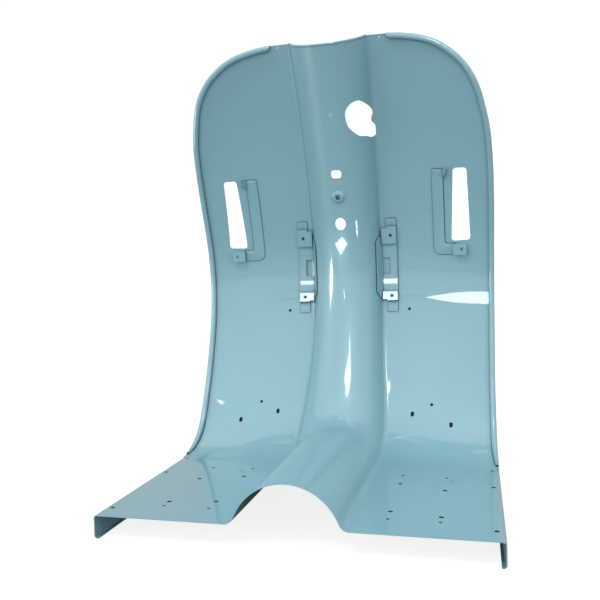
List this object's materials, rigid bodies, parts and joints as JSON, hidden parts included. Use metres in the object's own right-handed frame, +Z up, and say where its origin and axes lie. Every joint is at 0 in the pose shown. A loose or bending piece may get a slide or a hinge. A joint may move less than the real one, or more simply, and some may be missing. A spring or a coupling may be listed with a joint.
{
  "type": "scooter leg shield",
  "caption": "Pressed scooter leg shield with floor, turned-down side flanges, central hump, rolled outer edges, lamp slots and welded brackets.",
  "frame": {"origin": "centre of the main floor bolt pattern, on the underside of the floor", "axes": "+X to the rider's right, +Y forward, +Z up as on the scooter"},
  "size_m": [0.495, 0.4526, 0.6811],
  "materials": {
    "paint": "gloss light blue paint",
    "nut_steel": "plain steel"
  },
  "bodies": {
    "root": {"leg_shield_panel": "paint", "indicator_bracket_right": "paint", "indicator_bracket_left": "paint", "glovebox_bracket_right": "paint", "glovebox_bracket_left": "paint", "glovebox_bracket_nuts": "nut_steel"}
  },
  "joints": []
}
